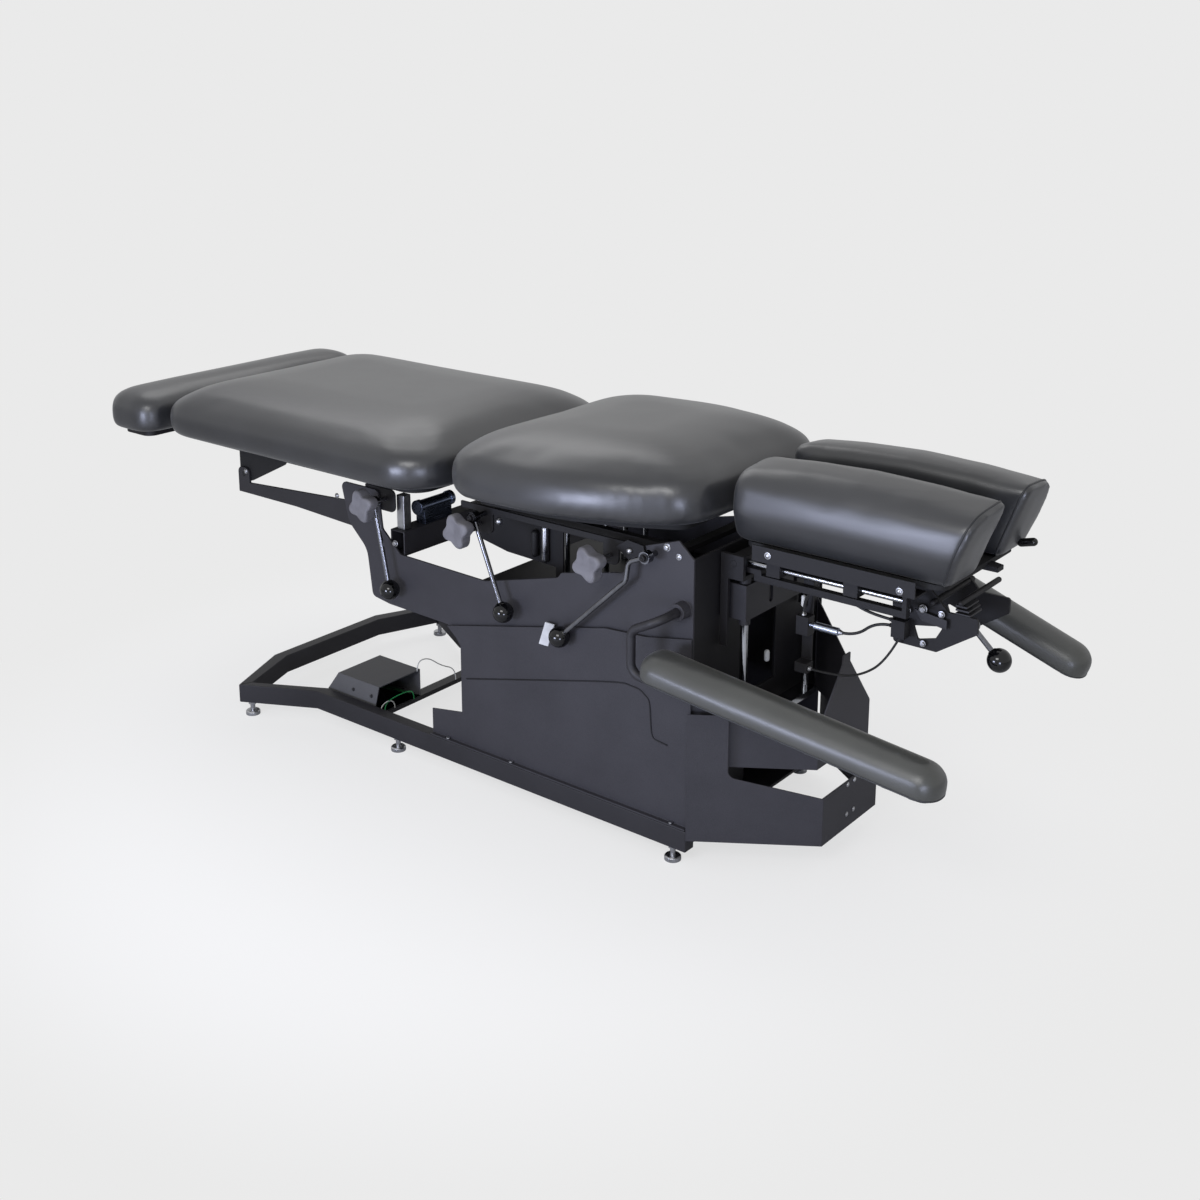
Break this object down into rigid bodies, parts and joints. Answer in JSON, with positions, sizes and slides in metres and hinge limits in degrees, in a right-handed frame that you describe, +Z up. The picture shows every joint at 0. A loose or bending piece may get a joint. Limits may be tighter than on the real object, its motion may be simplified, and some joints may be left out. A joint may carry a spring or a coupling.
{
  "type": "chiropractic table",
  "caption": "Height-adjusting treatment couch with padded foot, leg and chest sections, split head pads, hanging armrests, levers and a covered column base.",
  "frame": {"origin": "floor level under the middle of the table's length and width, on the centre plane", "axes": "+X towards the head end, +Y towards the far side in the picture, +Z up"},
  "size_m": [2.006, 0.6414, 0.7283],
  "materials": {
    "ball_plastic": "gloss",
    "board_ply": "black stained plywood",
    "chrome_rod": "polished",
    "circuit_laminate": "satin",
    "column_paint": "satin paint",
    "cover_paint": "fine texture powder coat",
    "cylinder_alloy": "satin",
    "frame_paint": "fine texture powder coat",
    "hose_rubber": "matt",
    "knob_plastic": "matt",
    "tab_plastic": "matt",
    "vinyl_black": "soft satin upholstery vinyl",
    "wire_insulation": "smooth insulation",
    "zinc_steel": "zinc plated"
  },
  "bodies": {
    "base": {"side_rails": "frame_paint", "foot_crossbar": "frame_paint", "levelling_feet": "zinc_steel", "lower_covers": "cover_paint", "cover_flange_bolts": "zinc_steel", "foot_end_wall": "cover_paint", "cover_pull_tab": "tab_plastic", "head_end_skirt": "cover_paint", "base_pan": "frame_paint", "lift_columns_outer": "column_paint", "lift_actuator": "column_paint", "control_box_housing": "cover_paint", "control_circuit_board": "circuit_laminate", "control_wires": "wire_insulation"},
    "lift_carriage": {"side_plates": "cover_paint", "cross_beam": "frame_paint", "lift_deck": "frame_paint", "lift_columns_inner": "column_paint", "tower_end_plate": "frame_paint", "head_shroud": "cover_paint", "leg_support_arms": "frame_paint", "pelvic_latch_posts": "zinc_steel", "pelvic_air_cylinder": "cylinder_alloy", "control_plates": "frame_paint", "sleeve_bracket": "frame_paint", "drop_guide_rods": "chrome_rod"},
    "leg_section": {"leg_board": "board_ply", "leg_cushion": "vinyl_black"},
    "foot_section": {"footrest_carrier": "frame_paint", "footrest_cushion": "vinyl_black"},
    "lumbar_section": {"lumbar_frame": "frame_paint"},
    "chest_section": {"chest_board": "board_ply", "chest_cushion": "vinyl_black"},
    "pelvic_lever": {"pelvic_lever": "chrome_rod", "pelvic_ball_knob": "ball_plastic"},
    "lumbar_lever": {"lumbar_lever": "chrome_rod", "lumbar_ball_knob": "ball_plastic"},
    "thoracic_lever": {"thoracic_lever": "chrome_rod", "thoracic_ball_knob": "ball_plastic"},
    "pelvic_knob": {"pelvic_star_knob": "knob_plastic"},
    "lumbar_knob": {"lumbar_star_knob": "knob_plastic"},
    "thoracic_knob": {"thoracic_star_knob": "knob_plastic"},
    "near_armrest": {"near_armrest_bracket": "frame_paint", "near_armrest_pad": "vinyl_black"},
    "far_armrest": {"far_armrest_bracket": "frame_paint", "far_armrest_pad": "vinyl_black"},
    "head_lift": {"head_posts": "chrome_rod", "head_yoke": "frame_paint"},
    "head_tilt": {"head_tilt_bar": "frame_paint", "head_slide_rods": "chrome_rod"},
    "head_extension": {"head_slide_frame": "frame_paint", "head_air_valve": "frame_paint", "air_line_filter": "cylinder_alloy", "head_air_hoses": "hose_rubber", "head_control_cable": "hose_rubber"},
    "head_drop": {"head_drop_board": "board_ply", "head_pads": "vinyl_black"},
    "head_lever": {"head_lever": "chrome_rod", "head_ball_knob": "ball_plastic"}
  },
  "joints": [
    {"name": "table_height", "type": "slide", "parent": "base", "child": "lift_carriage", "axis": [0, 0, 1], "range_m": [-0.03, 0.1]},
    {"name": "leg_section_tilt", "type": "hinge", "parent": "lift_carriage", "child": "leg_section", "pos_m": [-0.672, 0, 0.498], "axis": [0, 1, 0], "range_deg": [-0.2, 1]},
    {"name": "footrest_extension", "type": "slide", "parent": "leg_section", "child": "foot_section", "axis": [-1, 0, 0], "range_m": [0, 0.13]},
    {"name": "lumbar_drop", "type": "hinge", "parent": "lift_carriage", "child": "lumbar_section", "pos_m": [0.424, 0, 0.554], "axis": [0, 1, 0], "range_deg": [-1.5, 0]},
    {"name": "chest_drop", "type": "hinge", "parent": "lumbar_section", "child": "chest_section", "pos_m": [0.04, 0, 0.554], "axis": [0, 1, 0], "range_deg": [0, 1.2]},
    {"name": "pelvic_lever_turn", "type": "hinge", "parent": "lift_carriage", "child": "pelvic_lever", "pos_m": [-0.238, -0.236, 0.526], "axis": [0, 1, 0], "range_deg": [-25, 25]},
    {"name": "lumbar_lever_turn", "type": "hinge", "parent": "lift_carriage", "child": "lumbar_lever", "pos_m": [0.027, -0.236, 0.549], "axis": [0, 1, 0], "range_deg": [-25, 25]},
    {"name": "thoracic_lever_turn", "type": "hinge", "parent": "lift_carriage", "child": "thoracic_lever", "pos_m": [0.422, -0.236, 0.557], "axis": [0, 1, 0], "range_deg": [-10, 10]},
    {"name": "pelvic_knob_turn", "type": "hinge", "parent": "lift_carriage", "child": "pelvic_knob", "pos_m": [-0.238, -0.263, 0.526], "axis": [0, 1, 0], "continuous": true},
    {"name": "lumbar_knob_turn", "type": "hinge", "parent": "lift_carriage", "child": "lumbar_knob", "pos_m": [0.013, -0.263, 0.526], "axis": [0, 1, 0], "continuous": true},
    {"name": "thoracic_knob_turn", "type": "hinge", "parent": "lift_carriage", "child": "thoracic_knob", "pos_m": [0.321, -0.263, 0.53], "axis": [0, 1, 0], "continuous": true},
    {"name": "near_armrest_turn", "type": "hinge", "parent": "lift_carriage", "child": "near_armrest", "pos_m": [0.482, -0.28, 0.47], "axis": [0, 1, 0], "range_deg": [-12, 15]},
    {"name": "far_armrest_turn", "type": "hinge", "parent": "lift_carriage", "child": "far_armrest", "pos_m": [0.482, 0.28, 0.4898], "axis": [0, 1, 0], "range_deg": [-12, 15]},
    {"name": "head_height", "type": "slide", "parent": "lift_carriage", "child": "head_lift", "axis": [0, 0, 1], "range_m": [0, 0.05]},
    {"name": "head_tilt_turn", "type": "hinge", "parent": "head_lift", "child": "head_tilt", "pos_m": [0.53, 0, 0.541], "axis": [0, 1, 0], "range_deg": [-4, 12]},
    {"name": "head_extension_slide", "type": "slide", "parent": "head_tilt", "child": "head_extension", "axis": [1, 0, 0], "range_m": [0, 0.05]},
    {"name": "head_drop_turn", "type": "hinge", "parent": "head_extension", "child": "head_drop", "pos_m": [0.6, 0, 0.571], "axis": [0, 1, 0], "range_deg": [0, 0.8]},
    {"name": "head_lever_turn", "type": "hinge", "parent": "head_extension", "child": "head_lever", "pos_m": [0.926, -0.048, 0.5], "axis": [0, 1, 0], "range_deg": [-30, 30]}
  ]
}
